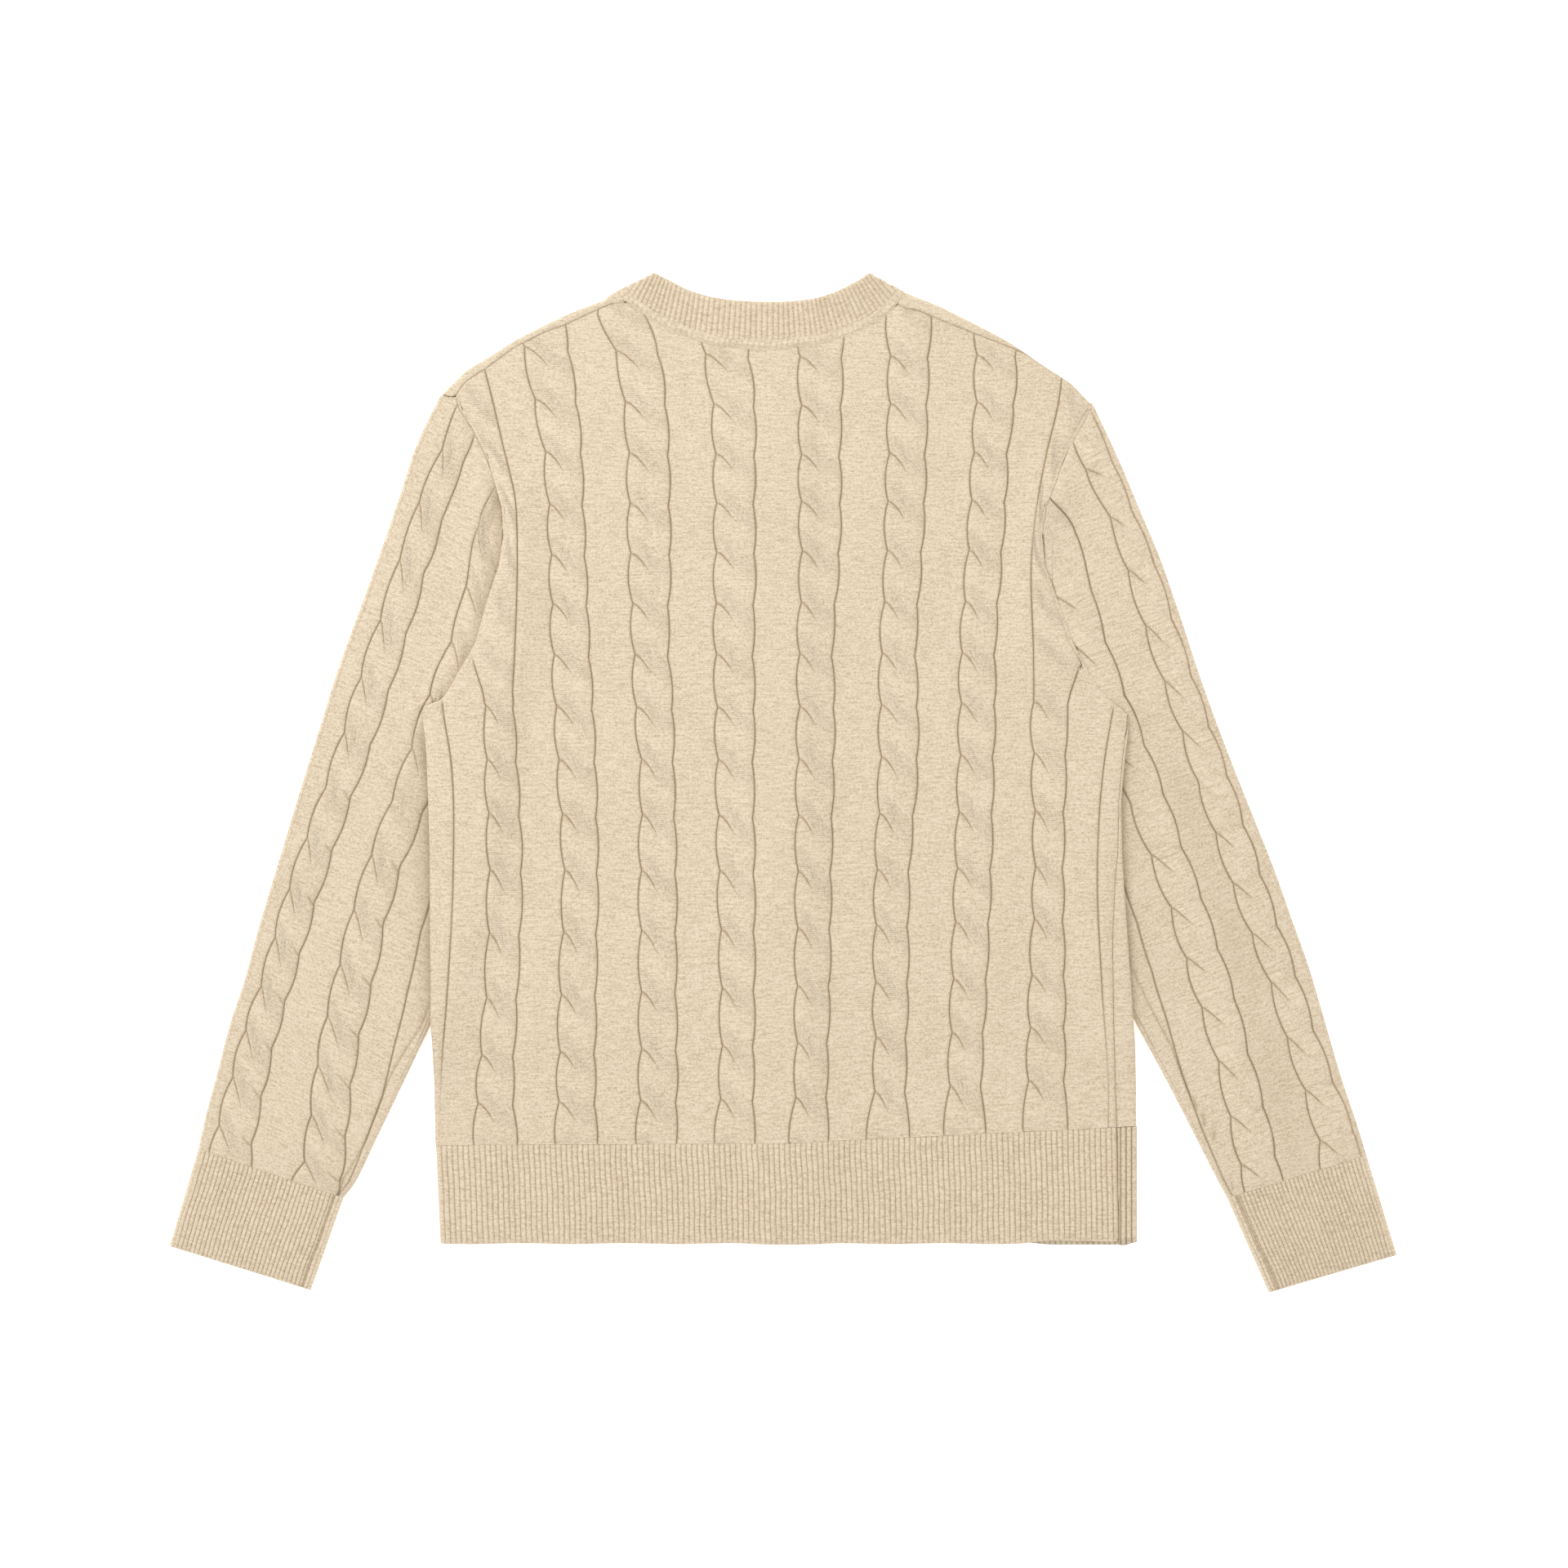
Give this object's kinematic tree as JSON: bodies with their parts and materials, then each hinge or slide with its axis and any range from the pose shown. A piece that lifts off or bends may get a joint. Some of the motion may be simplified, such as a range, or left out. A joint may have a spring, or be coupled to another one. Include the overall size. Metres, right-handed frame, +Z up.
{
  "type": "cable knit cardigan",
  "caption": "Long-sleeved cable knit cardigan lying flat with its back up: ribbed hem, cuffs and round neckband, buttoned front underneath.",
  "frame": {"origin": "on the floor under the middle of the lying garment's box", "axes": "+Z up from the floor through the garment, +X towards the sleeve on the picture's right, +Y towards the neck"},
  "size_m": [0.8724, 0.7244, 0.0137],
  "materials": {
    "wool": "oatmeal heather wool, cable knit",
    "wool_rib": "oatmeal heather wool, ribbed",
    "horn": "satin"
  },
  "bodies": {
    "root": {"back": "wool", "hem_back": "wool_rib", "front_left": "wool", "front_right": "wool", "hem_front_left": "wool_rib", "hem_front_right": "wool_rib", "sleeve_left": "wool", "sleeve_right": "wool", "cuff_left": "wool_rib", "cuff_right": "wool_rib", "neckband": "wool_rib", "button_band_left": "wool_rib", "button_band_right": "wool_rib", "button_1": "horn", "button_2": "horn", "button_3": "horn", "button_4": "horn", "button_5": "horn", "button_6": "horn"}
  },
  "joints": []
}
